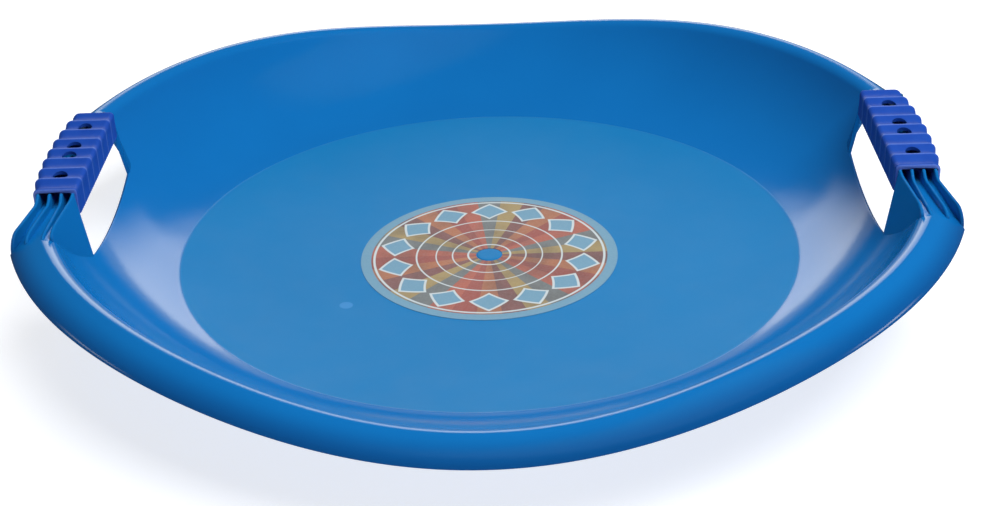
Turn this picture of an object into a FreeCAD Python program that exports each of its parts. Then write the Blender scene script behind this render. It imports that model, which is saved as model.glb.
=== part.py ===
import FreeCAD, Part
import math
import os
import Sketcher

# Saucer sled: a round moulded shell with a hand window and a ribbed handle bar on each side,
# a ridged grip pressed over each bar, and a round foil label on the floor.
# Millimetres. Origin on the ground under the middle, +Z up, front at -Y, handles at -X and +X.

SIZES = (
    ("skin", 3.0, "thickness of the moulded shell"),
    ("flat_radius", 84.0, "flat middle of the floor, which the sled stands on"),
    ("floor_radius", 195.0, "radius of the crease between floor and wall"),
    ("floor_rise", 9.8, "height of that crease above the flat middle"),
    ("wall_slope", 11.0, "slope of the wall where it leaves the floor, degrees"),
    ("rim_radius_long", 274.7, "radius of the rim's top line at front and back"),
    ("rim_radius_wide", 271.1, "radius of the rim's top line at the handles"),
    ("rim_high", 75.4, "height of the rim at the handles"),
    ("rim_low", 55.3, "height of the rim at front and back"),
    ("dip_power", 7.0, "how narrow the dips at front and back are"),
    ("crown_radius", 5.0, "rounding of the rim's top"),
    ("lip_radius", 90.0, "rounding of the lip outside the rim's top"),
    ("lip_width", 16.5, "reach of the lip outside the rim's top line"),
    ("lip_drop", 11.3, "fall of the lip below the rim's top line"),
    ("gate_radius", 7.8, "moulded pad in the middle of the floor"),
    ("gate_height", 0.5, "height of that pad"),
    ("rib_pitch", 6.9, "distance between two ribs"),
    ("rib_thick", 2.0, "thickness of a rib"),
    ("rib_stand", 6.3, "first rib outside the sill of the window"),
    ("rib_rise", 7.6, "top of the ribs above the rim"),
    ("rib_depth", 12.1, "height of the ribs in the grip"),
    ("rib_gap", 0.4, "room between the grip's end and the bend of the ribs"),
    ("rib_fall", 4.4, "fall of the outer ribs' tops just outside the grip"),
    ("plate_fall", 1.6, "fall of the first rib's top there"),
    ("fall_reach", 5.2, "length of that fall"),
    ("bend_reach", 10.0, "start of the ribs' bend down to their feet, before the feet"),
    ("bend_drop", 1.0, "fall of the ribs' tops between the grip and that bend"),
    ("web_thick", 2.5, "thickness of the web between the ribs"),
    ("web_lift", 0.5, "web above the lower edge of the ribs"),
    ("web_sink", 0.5, "web below the shell's surface at the feet"),
    ("sill_shift", 3.95, "sill of the window outside the middle of the wall"),
    ("plate_gap", 1.0, "start of the window's end plates beyond the grip's end"),
    ("front_sill", 2.6, "front corner of the window's sill beyond the grip's end"),
    ("back_sill", 9.6, "back corner of the window's sill beyond the grip's end"),
    ("front_reach", 99.5, "front end of the window from the middle of the handle"),
    ("back_reach", 80.0, "back end of the window from the middle of the handle"),
    ("foot_lap", 1.0, "feet of the ribs beyond the window's end"),
    ("plate_edge", 0.4, "foot of the first rib inside the inner side of the rim's rounding"),
    ("foot_step", 6.0, "foot of the third rib inside that of the fourth"),
    ("foot_margin", 2.6, "foot of the fourth rib inside the lip's edge"),
    ("plate_sink", 4.0, "lower edge of the first rib below the sill"),
    ("plate_depth", 12.0, "height of the first rib where it enters the shell"),
    ("foot_depth", 5.0, "height of the other ribs where they enter the shell"),
    ("root_reach", 4.0, "how far a rib runs on inside the shell"),
    ("root_drop", 3.0, "how far it sinks there"),
    ("grip_pitch", 14.1, "distance between two ridges of a grip"),
    ("grip_wall", 3.6, "wall of a grip over the ribs, at a ridge"),
    ("ridge_height", 2.4, "height of a ridge over its valleys, on top"),
    ("ridge_side", 0.8, "height of a ridge over its valleys, on the sides"),
    ("skirt_inner", 1.7, "wall of a grip's inner skirt, at a ridge"),
    ("skirt_outer", 2.4, "wall of a grip's outer skirt, at an end ridge"),
    ("grip_bulge", 4.2, "how far the outer skirt swells in the middle"),
    ("edge_inner", 2.6, "rounding of a grip's inner top edge"),
    ("edge_outer", 4.6, "rounding of a grip's outer top edge"),
    ("snap_reach", 0.8, "reach of the snap lips under the outermost ribs"),
    ("snap_height", 1.6, "height of the snap lips"),
    ("snap_gap", 0.2, "room between the snap lips and the ribs"),
    ("side_gap", 0.15, "room between the ribs and each skirt"),
    ("hole_radius", 4.5, "holes in the valleys of a grip"),
    ("label_margin", 2.1, "foil label inside the flat middle of the floor"),
    ("label_thick", 0.3, "thickness of the foil"),
    ("label_gap", 0.6, "room between the foil and the pad"),
)
FRONT = -1
BACK = 1
RIM_STATIONS = 24
RIBS = 4
RIDGES = 9
HOLED_VALLEYS = (2, 4, 5, 7)
SPARE_SECTIONS = 4
CREASE_LAP = 5.0
FLOOR_LAP = 2.5
CUT_REACH = 60.0

doc = FreeCAD.newDocument("saucer_sled")
sheet = doc.addObject("Spreadsheet::Sheet", "sizes")
for row, (alias, number, meaning) in enumerate(SIZES, start=1):
    sheet.set("A%d" % row, alias)
    sheet.set("B%d" % row, str(number))
    sheet.set("C%d" % row, meaning)
    sheet.setAlias("B%d" % row, alias)
doc.recompute()


class Size:
    """A size that carries its present value and its formula in the sheet's terms."""

    def __init__(self, now, text):
        self.now = now
        self.text = text

    def __add__(self, other):
        return Size(self.now + as_size(other).now, "(%s + %s)" % (self.text, as_size(other).text))

    def __sub__(self, other):
        return Size(self.now - as_size(other).now, "(%s - %s)" % (self.text, as_size(other).text))

    def __mul__(self, other):
        return Size(self.now * as_size(other).now, "(%s * %s)" % (self.text, as_size(other).text))

    def __truediv__(self, other):
        return Size(self.now / as_size(other).now, "(%s / %s)" % (self.text, as_size(other).text))

    def __pow__(self, other):
        return Size(self.now ** as_size(other).now, "(%s ^ %s)" % (self.text, as_size(other).text))

    def __neg__(self):
        return Size(-self.now, "(-1 * %s)" % self.text)


def as_size(value):
    return value if isinstance(value, Size) else Size(float(value), repr(float(value)))


def named(alias):
    return Size(float(sheet.get(alias)), "sizes." + alias)


def sine_of(degrees):
    return Size(math.sin(math.radians(degrees.now)), "sin(%s * 1 deg)" % degrees.text)


def cosine_of(degrees):
    return Size(math.cos(math.radians(degrees.now)), "cos(%s * 1 deg)" % degrees.text)


def longest_side(first, second):
    """Hypotenuse of two sides at right angles."""
    return (first ** 2 + second ** 2) ** 0.5


def other_side(longest, side):
    """Remaining side of a right triangle."""
    return (longest ** 2 - side ** 2) ** 0.5


skin = named("skin")
floor_radius = named("floor_radius")
flat_radius = named("flat_radius")
rim_side = named("rim_radius_wide")
rim_high = named("rim_high")
crown = named("crown_radius")
lip = named("lip_radius")
rib_thick = named("rib_thick")
rib_top = rim_high + named("rib_rise")
rib_low = rib_top - named("rib_depth")
grip_half = named("grip_pitch") * ((RIDGES - 1) / 2.0)
bar_end = grip_half + named("rib_gap")
sill = (floor_radius + rim_side) / 2 + named("sill_shift")


def rib_line(number):
    """Distance of a rib from the sled's middle, in its straight run."""
    return sill + named("rib_stand") + named("rib_pitch") * number


def rim_line(share):
    """Radius and height of the rim's top line where the bearing from the handle has this sine."""
    radius = rim_side + (named("rim_radius_long") - rim_side) * share ** 2
    height = rim_high - (rim_high - named("rim_low")) * share ** named("dip_power")
    return radius, height


def wall_foot():
    """Start of the wall's arc, a little inside the crease."""
    slope = named("wall_slope")
    fall = sine_of(slope) / cosine_of(slope) * CREASE_LAP
    return floor_radius - CREASE_LAP, skin + named("floor_rise") - fall


def wall_arc(radius, height):
    """Middle and radius of the wall's arc, from the floor at its slope up to the rim's rounding."""
    slope = named("wall_slope")
    across, up = wall_foot()
    away_across, away_up = across - radius, up - (height - crown)
    toward_middle = away_up * cosine_of(slope) - away_across * sine_of(slope)
    arc = (away_across ** 2 + away_up ** 2 - crown ** 2) / ((crown - toward_middle) * 2)
    return across - arc * sine_of(slope), up + arc * cosine_of(slope), arc


def wall_height(across, along):
    """Height of the wall's inner face over a spot of the plan."""
    reach = longest_side(across, along)
    middle_across, middle_up, arc = wall_arc(*rim_line(along / reach))
    return middle_up - other_side(arc, reach - middle_across)


def lip_middle():
    """Middle of the lip's arc, from the top of the rim. The arc joins the crown to the lip's edge."""
    out, down = named("lip_width"), crown - named("lip_drop")
    apart, offset = longest_side(out, down), lip - crown
    ahead = (offset ** 2 - lip ** 2 + apart ** 2) / (apart * 2)
    aside = other_side(offset, ahead)
    return (out * ahead + down * aside) / apart, (down * ahead - out * aside) / apart - crown


def window_end(end):
    """Reach of one end of the window and of its sill's corner, from the middle of the handle."""
    if end == BACK:
        return named("back_reach"), grip_half + named("back_sill")
    return named("front_reach"), grip_half + named("front_sill")


def rib_foot(number, end):
    """Where a rib's top edge meets the shell, just beyond the window's end: across, along, up."""
    along = window_end(end)[0] + named("foot_lap")
    radius, height = rim_line(along / rim_side)
    across = other_side(radius, along)
    middle_across, middle_up = lip_middle()
    outer = named("lip_width") - named("foot_margin")
    outs = [named("plate_edge") - crown, as_size(0), outer - named("foot_step"), outer]
    out = outs[number]
    rise = other_side(crown, out) - crown
    if number > 1:
        rise = middle_up + other_side(lip, out - middle_across)
    return across + out * radius / across, along, height + rise


def plane(body, role):
    for feature in body.Origin.OriginFeatures:
        if feature.Role == role:
            return feature


def new_body(name):
    return doc.addObject("PartDesign::Body", name)


def new_sketch(body, name, role, lift=None, turn=0.0):
    """Sketch on one of the body's own planes, raised or turned from it."""
    sketch = body.newObject("Sketcher::SketchObject", name)
    sketch.AttachmentSupport = [(plane(body, role), "")]
    sketch.MapMode = "FlatFace"
    upright = FreeCAD.Rotation(FreeCAD.Vector(0, 1, 0), turn)
    sketch.AttachmentOffset = FreeCAD.Placement(FreeCAD.Vector(), upright)
    if lift is not None:
        sketch.setExpression("AttachmentOffset.Base.z", lift.text)
    return sketch


def vector(across, up):
    return FreeCAD.Vector(as_size(across).now, as_size(up).now, 0)


def tie(sketch, kind, *where, to):
    """A dimension of the sketch that follows a formula of the sheet."""
    index = sketch.addConstraint(Sketcher.Constraint(kind, *where, to.now))
    sketch.setExpression("Constraints[%d]" % index, to.text)


def hold(sketch, edge, end, across=None, up=None):
    """Hold one end of an edge at a place measured from the sketch's origin."""
    for kind, place in (("DistanceX", across), ("DistanceY", up)):
        if place is None:
            continue
        if place.now < 0:
            tie(sketch, kind, edge, end, -1, 1, to=-place)
        else:
            tie(sketch, kind, -1, 1, edge, end, to=place)


def link(sketch, kind, first, second):
    """Join two edges where an end of one lies on an end of the other."""
    pairs = [(one, two) for one in (1, 2) for two in (1, 2)]

    def apart(pair):
        return (sketch.getPoint(first, pair[0]) - sketch.getPoint(second, pair[1])).Length

    one, two = min(pairs, key=apart)
    sketch.addConstraint(Sketcher.Constraint(kind, first, one, second, two))


def polygon(sketch, corners):
    """Closed outline of straight edges with every corner held."""
    spots = [vector(across, up) for across, up in corners]
    edges = []
    for first, second in zip(spots, spots[1:] + spots[:1]):
        edges.append(sketch.addGeometry(Part.LineSegment(first, second)))
    for first, second in zip(edges, edges[1:] + edges[:1]):
        sketch.addConstraint(Sketcher.Constraint("Coincident", first, 2, second, 1))
    for edge, (across, up) in zip(edges, corners):
        hold(sketch, edge, 1, across, up)


def arc_about(center, radius, first, second):
    """Arc the short way between two points of a circle."""
    start = math.atan2(first.y - center.y, first.x - center.x)
    stop = math.atan2(second.y - center.y, second.x - center.x)
    middle = (start + stop) / 2.0
    between = center + FreeCAD.Vector(math.cos(middle), math.sin(middle), 0) * radius
    return Part.Arc(first, between, second)


def toward(first, second, length):
    """Point at a distance from the first point on the way to the second."""
    step = second - first
    return first + step * (length / step.Length)


def make_floor(body):
    """Dished floor with its flat middle and the moulded pad, turned about the axis."""
    sketch = new_sketch(body, "FloorSection", "XZ_Plane")
    rise = named("floor_rise")
    dish = ((floor_radius - flat_radius) ** 2 + rise ** 2) / (rise * 2)
    center = vector(flat_radius, skin + dish)
    pad, top = named("gate_radius"), skin + named("gate_height")
    outer = floor_radius + FLOOR_LAP
    under = floor_radius + FLOOR_LAP / 2.0

    def on_dish(radius, across):
        return vector(across, center.y - math.sqrt(radius ** 2 - (across.now - center.x) ** 2))

    low_end = on_dish((dish + skin).now, under)
    high_end = on_dish(dish.now, outer)
    base = sketch.addGeometry(Part.LineSegment(vector(0, 0), vector(flat_radius, 0)))
    low = sketch.addGeometry(arc_about(center, (dish + skin).now, vector(flat_radius, 0), low_end))
    end = sketch.addGeometry(Part.LineSegment(low_end, high_end))
    high = sketch.addGeometry(arc_about(center, dish.now, high_end, vector(flat_radius, skin)))
    level = sketch.addGeometry(Part.LineSegment(vector(flat_radius, skin), vector(pad, skin)))
    side = sketch.addGeometry(Part.LineSegment(vector(pad, skin), vector(pad, top)))
    cap = sketch.addGeometry(Part.LineSegment(vector(pad, top), vector(0, top)))
    axis = sketch.addGeometry(Part.LineSegment(vector(0, top), vector(0, 0)))
    chain = [base, low, end, high, level, side, cap, axis]
    for first, second in zip(chain, chain[1:] + chain[:1]):
        link(sketch, "Coincident", first, second)
    sketch.addConstraint(Sketcher.Constraint("Coincident", low, 3, high, 3))
    sketch.addConstraint(Sketcher.Constraint("Coincident", base, 1, -1, 1))
    sketch.addConstraint(Sketcher.Constraint("Horizontal", base))
    sketch.addConstraint(Sketcher.Constraint("Vertical", axis))
    hold(sketch, base, 2, across=flat_radius)
    hold(sketch, high, 3, flat_radius, skin + dish)
    hold(sketch, level, 1, flat_radius, skin)
    hold(sketch, end, 1, across=under)
    hold(sketch, end, 2, across=outer)
    hold(sketch, side, 1, pad, skin)
    hold(sketch, cap, 1, pad, top)
    sketch.addConstraint(Sketcher.Constraint("Horizontal", cap))
    floor = body.newObject("PartDesign::Revolution", "Floor")
    floor.Profile = sketch
    floor.ReferenceAxis = (sketch, ["V_Axis"])
    floor.Angle = 360.0


def rim_section(body, number):
    """Radial section of wall, rounded rim and lip, one skin thick all along."""
    turn = 360.0 * number / RIM_STATIONS
    sketch = new_sketch(body, "RimSection%d" % number, "XZ_Plane", turn=turn)
    share = Size(abs(math.sin(math.radians(turn))), "abs(sin(%r deg))" % turn)
    radius, height = rim_line(share)
    foot_across, foot_up = wall_foot()
    hollow_across, hollow_up, arc = wall_arc(radius, height)
    swell_across, swell_up = lip_middle()
    edge_across = radius + named("lip_width")
    edge_up = height - named("lip_drop")

    wall = arc.now
    foot, hollow = vector(foot_across, foot_up), vector(hollow_across, hollow_up)
    crest, edge = vector(radius, height - crown), vector(edge_across, edge_up)
    swell = vector(radius + swell_across, height + swell_up)
    over, over_low = toward(crest, hollow, crown.now), toward(crest, hollow, (crown - skin).now)
    out, out_low = toward(swell, crest, lip.now), toward(swell, crest, (lip - skin).now)
    edge_low = toward(swell, edge, (lip - skin).now)
    foot_low = vector(floor_radius, hollow_up - other_side(arc + skin, floor_radius - hollow_across))

    wall_top = sketch.addGeometry(arc_about(hollow, wall, foot, over))
    crown_top = sketch.addGeometry(arc_about(crest, crown.now, over, out))
    lip_top = sketch.addGeometry(arc_about(swell, lip.now, out, edge))
    lip_end = sketch.addGeometry(Part.LineSegment(edge, edge_low))
    lip_low = sketch.addGeometry(arc_about(swell, (lip - skin).now, edge_low, out_low))
    crown_low = sketch.addGeometry(arc_about(crest, (crown - skin).now, out_low, over_low))
    wall_low = sketch.addGeometry(arc_about(hollow, wall + skin.now, over_low, foot_low))
    tongue = sketch.addGeometry(Part.LineSegment(foot_low, foot))
    spoke = sketch.addGeometry(Part.LineSegment(foot, hollow), True)

    link(sketch, "Tangent", wall_top, crown_top)
    link(sketch, "Tangent", crown_top, lip_top)
    link(sketch, "Coincident", lip_top, lip_end)
    link(sketch, "Coincident", lip_end, lip_low)
    link(sketch, "Tangent", lip_low, crown_low)
    link(sketch, "Tangent", crown_low, wall_low)
    link(sketch, "Coincident", wall_low, tongue)
    link(sketch, "Coincident", tongue, wall_top)
    link(sketch, "Coincident", spoke, tongue)
    for low, top in ((wall_low, wall_top), (crown_low, crown_top), (lip_low, lip_top)):
        sketch.addConstraint(Sketcher.Constraint("Coincident", low, 3, top, 3))
    sketch.addConstraint(Sketcher.Constraint("PointOnObject", lip_top, 3, lip_end))
    sketch.addConstraint(Sketcher.Constraint("Coincident", spoke, 2, wall_top, 3))
    hold(sketch, tongue, 2, foot_across, foot_up)
    hold(sketch, crown_top, 3, radius, height - crown)
    hold(sketch, lip_end, 1, edge_across, edge_up)
    hold(sketch, tongue, 1, across=floor_radius)
    tie(sketch, "Radius", crown_top, to=crown)
    tie(sketch, "Radius", lip_top, to=lip)
    tie(sketch, "Radius", crown_low, to=crown - skin)
    slope = named("wall_slope")
    lean = Size(math.radians(90.0 + slope.now), "90 deg + %s * 1 deg" % slope.text)
    tie(sketch, "Angle", spoke, to=lean)
    return sketch


def make_rim(body):
    """Wall, rim and lip through radial sections all the way round."""
    sections = [rim_section(body, number) for number in range(RIM_STATIONS)]
    rim = body.newObject("PartDesign::AdditiveLoft", "Rim")
    rim.Profile = sections[0]
    rim.Sections = sections[1:]
    rim.Closed = True


def cut_windows(body):
    """Hand window through wall, rim and lip, from the sill out past the lip, on both sides."""
    sketch = new_sketch(body, "WindowOutline", "XY_Plane")
    halves = []
    for end in (BACK, FRONT):
        reach, corner = window_end(end)
        across = rib_foot(0, end)[0]
        halves.append([(sill, corner * end), (across, reach * end), (across + CUT_REACH, reach * end)])
    outline = halves[0] + halves[1][::-1]
    polygon(sketch, outline)
    polygon(sketch, [(-across, along) for across, along in outline])
    windows = body.newObject("PartDesign::Pocket", "Windows")
    windows.Profile = sketch
    windows.Type = "ThroughAll"
    windows.SideType = "Symmetric"
    windows.Refine = False


def on_the_way(here, start, stop):
    """Share of the way from the start to the stop."""
    return (here - start) / (stop - start)


def rib_stations(number, end):
    """Sections of one rib from the grip outward: along, top and low line, bottom, top."""
    line = rib_line(number)
    across, along, up = rib_foot(number, end)
    foot_low = up - named("foot_depth")
    shoulder = rib_top - named("rib_fall")
    tops = [
        (bar_end, rib_top),
        (bar_end + named("fall_reach"), shoulder),
        (along - named("bend_reach"), shoulder - named("bend_drop")),
        (along, up),
    ]
    stations = []
    for here, top in tops:
        share = on_the_way(here, bar_end, along)
        top_line = line + (across - line) * share
        stations.append([here, top_line, top_line, rib_low + (foot_low - rib_low) * share, top])
    stations.append([along + named("root_reach"), across, across, foot_low, up - named("root_drop")])
    return stations


def plate_stations(end):
    """The first rib widens into the window's end plate, which stands on the wall's edge."""
    line = rib_line(0)
    across, along, up = rib_foot(0, end)
    corner = window_end(end)[1]
    start = grip_half + named("plate_gap")
    bend = along - named("bend_reach")
    foot_low = up - named("plate_depth")
    start_low = wall_height(sill, start) - named("plate_sink")
    corner_low = wall_height(sill, corner) - named("plate_sink")
    shoulder = rib_top - named("plate_fall")
    bend_share = on_the_way(bend, corner, along)
    edges = [
        (bar_end, line, rib_low, rib_top),
        (start, sill, start_low, rib_top),
        (corner, sill, corner_low, shoulder),
        (bend, sill + (across - sill) * bend_share, corner_low + (foot_low - corner_low) * bend_share,
         shoulder - named("bend_drop")),
        (along, across, foot_low, up),
    ]
    stations = []
    for here, low_line, low, top in edges:
        top_line = line + (across - line) * on_the_way(here, bar_end, along)
        stations.append([here, top_line, low_line, low, top])
    stations.append([along + named("root_reach"), across, across, foot_low, up - named("root_drop")])
    return stations


def straight_loft(body, name, outward):
    """Solid through straight-edged sections, from the front end of the handle to the back."""
    sections = []
    for end in (FRONT, BACK):
        for here, corners in outward(end)[::end]:
            title = "%sSection%d" % (name, len(sections) + 1)
            sketch = new_sketch(body, title, "XZ_Plane", lift=here * -end)
            polygon(sketch, corners)
            sections.append(sketch)
    loft = body.newObject("PartDesign::AdditiveLoft", name)
    loft.Profile = sections[0]
    loft.Sections = sections[1:]
    loft.Ruled = True


def make_rib(number):
    """Upright rib of the right handle bar, straight in the grip and flared to its feet."""
    name = "Rib%d" % (number + 1)
    body = new_body("Right" + name)

    def outward(end):
        stations = rib_stations(number, end) if number else plate_stations(end)
        sections = []
        for here, top_line, low_line, low, top in stations:
            sections.append((here, [
                (low_line - rib_thick / 2, low),
                (low_line + rib_thick / 2, low),
                (top_line + rib_thick / 2, top),
                (top_line - rib_thick / 2, top),
            ]))
        return sections

    straight_loft(body, name, outward)
    return body


def make_web():
    """Web that closes the grooves between the ribs from below, and rises to the shell at the feet."""
    body = new_body("RightWeb")
    thick = named("web_thick")
    bar_top = rib_low + named("web_lift") + thick

    def outward(end):
        feet = [rib_foot(number, end) for number in range(RIBS)]
        along = feet[0][1]
        bar = [(rib_line(number), bar_top) for number in range(RIBS)]
        foot = [(across, up - named("web_sink")) for across, reach, up in feet]
        root = [(across, up - named("root_drop")) for across, reach, up in feet]
        sections = []
        for here, line in ((bar_end, bar), (along, foot), (along + named("root_reach"), root)):
            line[0] = (line[0][0] - rib_thick / 4, line[0][1])
            under = [(across, up - thick) for across, up in reversed(line)]
            sections.append((here, line + under))
        return sections

    straight_loft(body, "Web", outward)
    return body


def mirrored(source, label):
    """The same piece on the other side of the sled."""
    twin = doc.addObject("Part::Mirroring", label)
    twin.Source = source
    twin.Normal = FreeCAD.Vector(1, 0, 0)
    twin.Label = label
    return twin


def make_shell():
    """Floor, wall, rim, lip and the ribs and webs of both handle bars are one moulding."""
    dish = new_body("Dish")
    make_floor(dish)
    make_rim(dish)
    cut_windows(dish)
    right = [make_rib(number) for number in range(RIBS)] + [make_web()]
    left = [mirrored(bar, bar.Name.replace("Right", "Left")) for bar in right]
    shell = doc.addObject("Part::MultiFuse", "sled_shell")
    shell.Shapes = [dish] + right + left
    shell.Refine = False
    shell.Label = "sled_shell"
    return shell


def grip_sides(here):
    """Inner and outer face of a grip at a ridge, at a place along it."""
    inner = rib_line(0) - rib_thick / 2 - named("side_gap") - named("skirt_inner")
    swell = named("grip_bulge") * (as_size(1) - (here / grip_half) ** 2)
    outer = rib_line(RIBS - 1) + rib_thick / 2 + named("side_gap") + named("skirt_outer") + swell
    return inner, outer


def grip_section(body, number):
    """Section of a grip at a ridge or at a valley, with rounded top edges."""
    here = named("grip_pitch") * (number / 2.0) - grip_half
    sketch = new_sketch(body, "GripSection%d" % (number + 1 + SPARE_SECTIONS), "XZ_Plane", lift=-here)
    inner, outer = grip_sides(here)
    top = rib_top + named("grip_wall")
    low = rib_low - named("snap_gap") - named("snap_height")
    if number % 2:
        inner, outer = inner + named("ridge_side"), outer - named("ridge_side")
        top = top - named("ridge_height")
    round_in, round_out = named("edge_inner"), named("edge_outer")
    turn_in = vector(inner + round_in, top - round_in)
    turn_out = vector(outer - round_out, top - round_out)
    in_high, top_start = vector(inner, top - round_in), vector(inner + round_in, top)
    top_stop, out_high = vector(outer - round_out, top), vector(outer, top - round_out)

    inside = sketch.addGeometry(Part.LineSegment(vector(inner, low), in_high))
    corner_in = sketch.addGeometry(arc_about(turn_in, round_in.now, in_high, top_start))
    crest = sketch.addGeometry(Part.LineSegment(top_start, top_stop))
    corner_out = sketch.addGeometry(arc_about(turn_out, round_out.now, top_stop, out_high))
    outside = sketch.addGeometry(Part.LineSegment(out_high, vector(outer, low)))
    base = sketch.addGeometry(Part.LineSegment(vector(outer, low), vector(inner, low)))
    over = [inside, corner_in, crest, corner_out, outside]
    for first, second in zip(over, over[1:]):
        link(sketch, "Tangent", first, second)
    link(sketch, "Coincident", outside, base)
    link(sketch, "Coincident", base, inside)
    for edge in (inside, outside):
        sketch.addConstraint(Sketcher.Constraint("Vertical", edge))
    for edge in (crest, base):
        sketch.addConstraint(Sketcher.Constraint("Horizontal", edge))
    hold(sketch, inside, 1, inner, low)
    hold(sketch, outside, 2, across=outer)
    hold(sketch, crest, 1, up=top)
    tie(sketch, "Radius", corner_in, to=round_in)
    tie(sketch, "Radius", corner_out, to=round_out)
    return sketch


def cut_channel(body):
    """Channel for the ribs, narrowed below them by the snap lips."""
    sketch = new_sketch(body, "ChannelSection", "XZ_Plane")
    near = rib_line(0) - rib_thick / 2 - named("side_gap")
    far = rib_line(RIBS - 1) + rib_thick / 2 + named("side_gap")
    reach = named("snap_reach")
    ledge = rib_low - named("snap_gap")
    mouth = ledge - named("snap_height") * 2
    polygon(sketch, [
        (near + reach, mouth), (far - reach, mouth), (far - reach, ledge), (far, ledge),
        (far, rib_top), (near, rib_top), (near, ledge), (near + reach, ledge),
    ])
    channel = body.newObject("PartDesign::Pocket", "Channel")
    channel.Profile = sketch
    channel.Type = "ThroughAll"
    channel.SideType = "Symmetric"


def cut_holes(body):
    """Round holes through the top of the grip, in some of its valleys."""
    sketch = new_sketch(body, "HolePlan", "XY_Plane")
    for valley in HOLED_VALLEYS:
        here = named("grip_pitch") * (valley - 0.5) - grip_half
        inner, outer = grip_sides(here)
        across = (inner + outer) / 2
        circle = Part.Circle(vector(across, here), FreeCAD.Vector(0, 0, 1), named("hole_radius").now)
        hole = sketch.addGeometry(circle)
        hold(sketch, hole, 3, across, here)
        tie(sketch, "Radius", hole, to=named("hole_radius"))
    holes = body.newObject("PartDesign::Pocket", "Holes")
    holes.Profile = sketch
    holes.Type = "ThroughAll"
    holes.SideType = "Symmetric"


def trim_ends(body):
    """Square ends of the grip, at its first and last ridge."""
    sketch = new_sketch(body, "EndPlan", "XY_Plane")
    spare = named("grip_pitch") * SPARE_SECTIONS
    inner, outer = grip_sides(as_size(0))
    left, right = inner - spare, outer + spare
    for near, far in ((grip_half, grip_half + spare), (-grip_half, -grip_half - spare)):
        polygon(sketch, [(left, near), (right, near), (right, far), (left, far)])
    ends = body.newObject("PartDesign::Pocket", "Ends")
    ends.Profile = sketch
    ends.Type = "ThroughAll"
    ends.SideType = "Symmetric"


def make_grip():
    """Ridged cover with a channel open below. Its wave runs on past both ends before they are cut."""
    body = new_body("right_grip")
    stations = range(-SPARE_SECTIONS, 2 * RIDGES - 1 + SPARE_SECTIONS)
    sections = [grip_section(body, number) for number in stations]
    ridges = body.newObject("PartDesign::AdditiveLoft", "Ridges")
    ridges.Profile = sections[0]
    ridges.Sections = sections[1:]
    trim_ends(body)
    cut_channel(body)
    cut_holes(body)
    body.Label = "right_grip"
    return body


def make_label():
    """Round foil with a punched middle, flat on the floor around the pad."""
    body = new_body("label")
    sketch = new_sketch(body, "LabelOutline", "XY_Plane", lift=skin)
    for radius in (flat_radius - named("label_margin"), named("gate_radius") + named("label_gap")):
        circle = sketch.addGeometry(Part.Circle(vector(0, 0), FreeCAD.Vector(0, 0, 1), radius.now))
        sketch.addConstraint(Sketcher.Constraint("Coincident", circle, 3, -1, 1))
        tie(sketch, "Radius", circle, to=radius)
    foil = body.newObject("PartDesign::Pad", "Foil")
    foil.Profile = sketch
    foil.setExpression("Length", "sizes.label_thick")
    body.Label = "label"
    return body


def check(pieces):
    """Nothing is written unless every object and every piece came out sound."""
    for item in doc.Objects:
        if "Invalid" in item.State or "Error" in item.State:
            raise RuntimeError("%s failed: %s" % (item.Name, item.getStatusString()))
    for piece in pieces:
        if piece.Shape.isNull() or not piece.Shape.isValid() or len(piece.Shape.Solids) != 1:
            raise RuntimeError("%s is not one sound solid" % piece.Label)
    if shell_piece.Shape.Volume < max(source.Shape.Volume for source in shell_piece.Shapes):
        raise RuntimeError("%s has lost a piece that it is joined from" % shell_piece.Label)


shell_piece = make_shell()
right_piece = make_grip()
left_piece = mirrored(right_piece, "left_grip")
label_piece = make_label()
PIECES = (shell_piece, right_piece, left_piece, label_piece)
doc.recompute()
check(PIECES)
os.makedirs("parts", exist_ok=True)
for piece in PIECES:
    piece.Shape.exportStep("parts/%s.step" % piece.Label)
    box = piece.Shape.optimalBoundingBox()
    extent = "%.2f x %.2f x %.2f mm" % (box.XLength, box.YLength, box.ZLength)
    print("%s: %.0f mm3, %s, low at %.2f" % (piece.Label, piece.Shape.Volume, extent, box.ZMin))
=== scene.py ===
import math

import bmesh
import bpy
from mathutils import Matrix, Vector


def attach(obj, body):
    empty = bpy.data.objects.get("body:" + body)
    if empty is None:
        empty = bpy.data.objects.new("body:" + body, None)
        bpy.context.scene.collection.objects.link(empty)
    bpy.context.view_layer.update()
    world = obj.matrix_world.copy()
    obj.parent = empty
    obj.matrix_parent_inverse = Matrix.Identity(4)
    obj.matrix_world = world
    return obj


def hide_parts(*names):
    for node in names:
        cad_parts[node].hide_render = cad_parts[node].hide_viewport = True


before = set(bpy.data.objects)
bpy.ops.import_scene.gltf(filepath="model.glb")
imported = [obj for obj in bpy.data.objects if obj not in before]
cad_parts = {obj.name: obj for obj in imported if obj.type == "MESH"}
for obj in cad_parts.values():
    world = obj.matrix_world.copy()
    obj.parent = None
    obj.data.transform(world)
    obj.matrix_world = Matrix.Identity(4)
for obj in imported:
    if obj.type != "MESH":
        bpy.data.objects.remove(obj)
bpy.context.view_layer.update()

# Saucer sled: glossy moulded shell, ribbed handle bars with ridged grips, printed round label.
# Shape sizes are in millimetres of the shared frame. MM turns them into metres.
# Sizes that differ between the front and the back of the sled are kept by end.
MM = 0.001
FRONT = -1
BACK = 1

# Floor with the pad in its middle, and the wall that rises from it
SKIN = 3.0
PAD_RADIUS = 7.8
PAD_HEIGHT = 0.5
PAD_EDGE = 0.5
FLAT_RADIUS = 84.0
FLOOR_RADIUS = 195.0
FLOOR_RISE = 9.8
CREASE_HALF = 2.0
WALL_SLOPE = math.radians(11.0)
WALL_LAP = 5.0

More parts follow.
